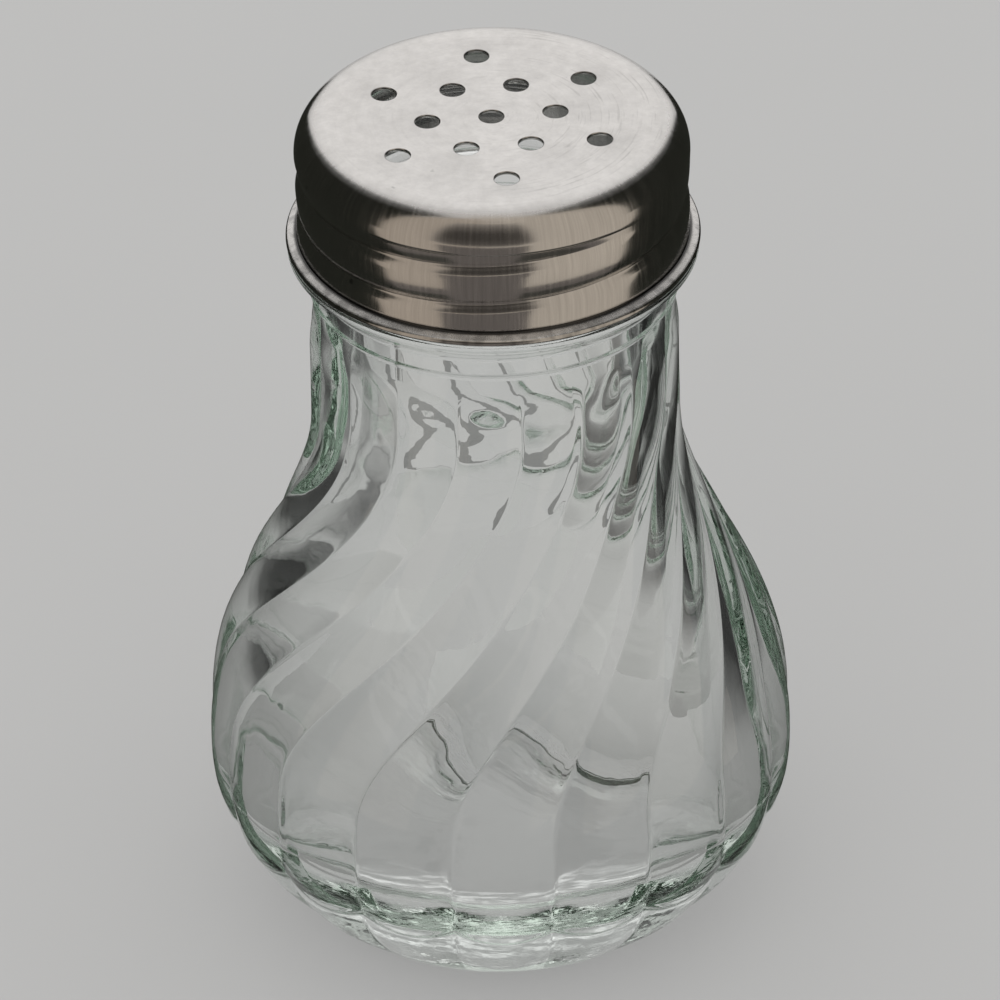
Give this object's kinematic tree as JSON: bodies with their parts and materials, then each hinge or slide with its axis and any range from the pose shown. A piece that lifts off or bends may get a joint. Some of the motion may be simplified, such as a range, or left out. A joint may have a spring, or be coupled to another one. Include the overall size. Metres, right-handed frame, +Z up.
{
  "type": "salt shaker",
  "caption": "Clear glass salt shaker with a pear-shaped, swirl-lobed jar and a perforated brushed steel screw cap over a sealing ring.",
  "frame": {"origin": "centre of the ring that the jar rests on, at table level", "axes": "+Z up along the jar and the cap's thread axis, -Y towards the front as pictured, +X to the right"},
  "size_m": [0.0654, 0.066, 0.1],
  "materials": {
    "clear_glass": "fire-polished clear soda-lime glass with a faint grey-green tint",
    "seal_plastic": "plain off-white soft plastic",
    "brushed_steel": "fine brushed stainless sheet steel"
  },
  "bodies": {
    "jar": {"glass_jar": "clear_glass"},
    "seal": {"sealing_ring": "seal_plastic"},
    "cap": {"screw_cap": "brushed_steel"}
  },
  "joints": [
    {"name": "cap_rise", "type": "slide", "parent": "jar", "child": "seal", "axis": [0, 0, 1], "range_m": [0, 0.0071]},
    {"name": "cap_turn", "type": "hinge", "parent": "seal", "child": "cap", "pos_m": [0, 0, 0.0926], "axis": [0, 0, 1], "range_deg": [0, 530]}
  ],
  "couplings": [
    {"joint": "cap_rise", "follows": "cap_turn", "m_per_rad": 0.00076394}
  ]
}
